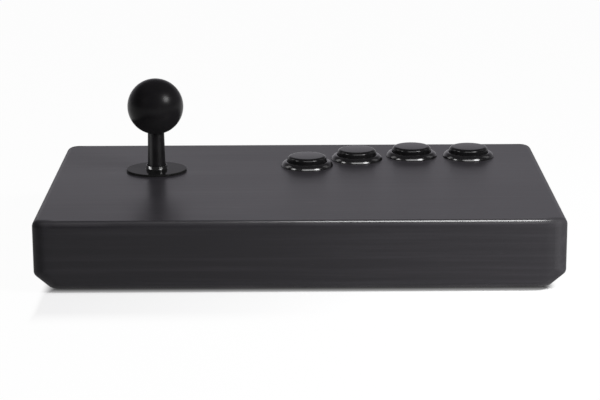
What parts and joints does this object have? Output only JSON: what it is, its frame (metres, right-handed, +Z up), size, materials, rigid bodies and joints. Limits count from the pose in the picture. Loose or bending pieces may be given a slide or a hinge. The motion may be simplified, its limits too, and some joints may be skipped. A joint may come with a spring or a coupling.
{
  "type": "arcade stick",
  "caption": "Low wooden arcade controller with a ball-top lever on a dust washer at the left and a bent row of round pushbuttons at the right.",
  "frame": {"origin": "centre of the case's outline on the table plane, under the feet", "axes": "+X to the player's right along the case, +Y away from the player, +Z up out of the panel"},
  "size_m": [0.308, 0.2, 0.1013],
  "materials": {
    "case_wood": "black-stained wood under satin lacquer",
    "base_board": "black-painted hardboard",
    "knob_plastic": "satin black moulded plastic",
    "gloss_black": "gloss black moulded plastic",
    "washer_plastic": "satin black plastic sheet",
    "slip_nylon": "natural nylon sheet",
    "dark_nylon": "dark moulded nylon",
    "white_nylon": "natural moulded nylon",
    "steel": "bright steel",
    "zinc_plate": "zinc-plated steel sheet",
    "black_screw": "black-oxide steel",
    "brass": "turned brass",
    "nickel": "nickel-plated turned metal",
    "foot_rubber": "soft black rubber",
    "board_green": "green solder mask over glass-fibre board",
    "chip_black": "black moulded package",
    "lead_black": "black flexible sheath",
    "wire_red": "red flexible sheath"
  },
  "bodies": {
    "case_unit": {"case": "case_wood", "base_plate": "base_board", "base_screws": "black_screw", "rubber_feet": "foot_rubber", "socket_shell": "nickel", "lever_plate": "zinc_plate", "lever_plate_screws": "steel", "lever_housing": "dark_nylon", "housing_screws": "steel", "spring_seat": "white_nylon", "switch_board": "board_green", "lever_switch_right": "chip_black", "lever_switch_rear": "chip_black", "lever_switch_left": "chip_black", "lever_switch_front": "chip_black", "restrictor_gate": "dark_nylon", "lever_connector": "white_nylon", "control_board": "board_green", "control_chip": "chip_black", "board_headers": "white_nylon", "board_spacers": "white_nylon", "board_screws": "steel", "socket_insert": "chip_black", "socket_nut": "nickel", "lever_lead": "lead_black", "socket_lead": "lead_black", "button_leads": "wire_red", "button_1_housing": "gloss_black", "button_1_nut": "dark_nylon", "button_1_spring": "steel", "button_1_switch": "chip_black", "button_2_housing": "gloss_black", "button_2_nut": "dark_nylon", "button_2_spring": "steel", "button_2_switch": "chip_black", "button_3_housing": "gloss_black", "button_3_nut": "dark_nylon", "button_3_spring": "steel", "button_3_switch": "chip_black", "button_4_housing": "gloss_black", "button_4_nut": "dark_nylon", "button_4_spring": "steel", "button_4_switch": "chip_black"},
    "gimbal": {"gimbal_ring": "dark_nylon", "gimbal_pins": "steel"},
    "stick": {"lever_shaft": "steel", "cross_pin": "steel", "shaft_sleeve": "gloss_black", "ball_knob": "knob_plastic", "knob_insert": "brass", "lever_actuator": "white_nylon", "retaining_clip": "steel", "lever_spring": "steel"},
    "dust_slip": {"slip_washer": "slip_nylon"},
    "dust_cover": {"dust_washer": "washer_plastic"},
    "button_1": {"button_1_plunger": "gloss_black"},
    "button_2": {"button_2_plunger": "gloss_black"},
    "button_3": {"button_3_plunger": "gloss_black"},
    "button_4": {"button_4_plunger": "gloss_black"}
  },
  "joints": [
    {"name": "lever_front_back", "type": "hinge", "parent": "case_unit", "child": "gimbal", "pos_m": [-0.09, 0.0262, 0.0305], "axis": [1, 0, 0], "range_deg": [-9, 9], "stiffness_Nm_per_rad": 0.5},
    {"name": "lever_left_right", "type": "hinge", "parent": "gimbal", "child": "stick", "pos_m": [-0.09, 0.0262, 0.0305], "axis": [0, 1, 0], "range_deg": [-9, 9], "stiffness_Nm_per_rad": 0.5, "deforming": ["lever_spring"]},
    {"name": "dust_left_right", "type": "slide", "parent": "case_unit", "child": "dust_slip", "axis": [1, 0, 0], "range_m": [-0.0023, 0.0023]},
    {"name": "dust_front_back", "type": "slide", "parent": "dust_slip", "child": "dust_cover", "axis": [0, 1, 0], "range_m": [-0.0023, 0.0023]},
    {"name": "button_1_press", "type": "slide", "parent": "case_unit", "child": "button_1", "axis": [0, 0, -1], "range_m": [0, 0.0032], "stiffness_N_per_m": 150, "springref_m": -0.004, "deforming": ["button_1_spring"]},
    {"name": "button_2_press", "type": "slide", "parent": "case_unit", "child": "button_2", "axis": [0, 0, -1], "range_m": [0, 0.0032], "stiffness_N_per_m": 150, "springref_m": -0.004, "deforming": ["button_2_spring"]},
    {"name": "button_3_press", "type": "slide", "parent": "case_unit", "child": "button_3", "axis": [0, 0, -1], "range_m": [0, 0.0032], "stiffness_N_per_m": 150, "springref_m": -0.004, "deforming": ["button_3_spring"]},
    {"name": "button_4_press", "type": "slide", "parent": "case_unit", "child": "button_4", "axis": [0, 0, -1], "range_m": [0, 0.0032], "stiffness_N_per_m": 150, "springref_m": -0.004, "deforming": ["button_4_spring"]}
  ],
  "couplings": [
    {"joint": "dust_left_right", "follows": "lever_left_right", "m_per_rad": 0.01385},
    {"joint": "dust_front_back", "follows": "lever_front_back", "m_per_rad": -0.01385}
  ]
}
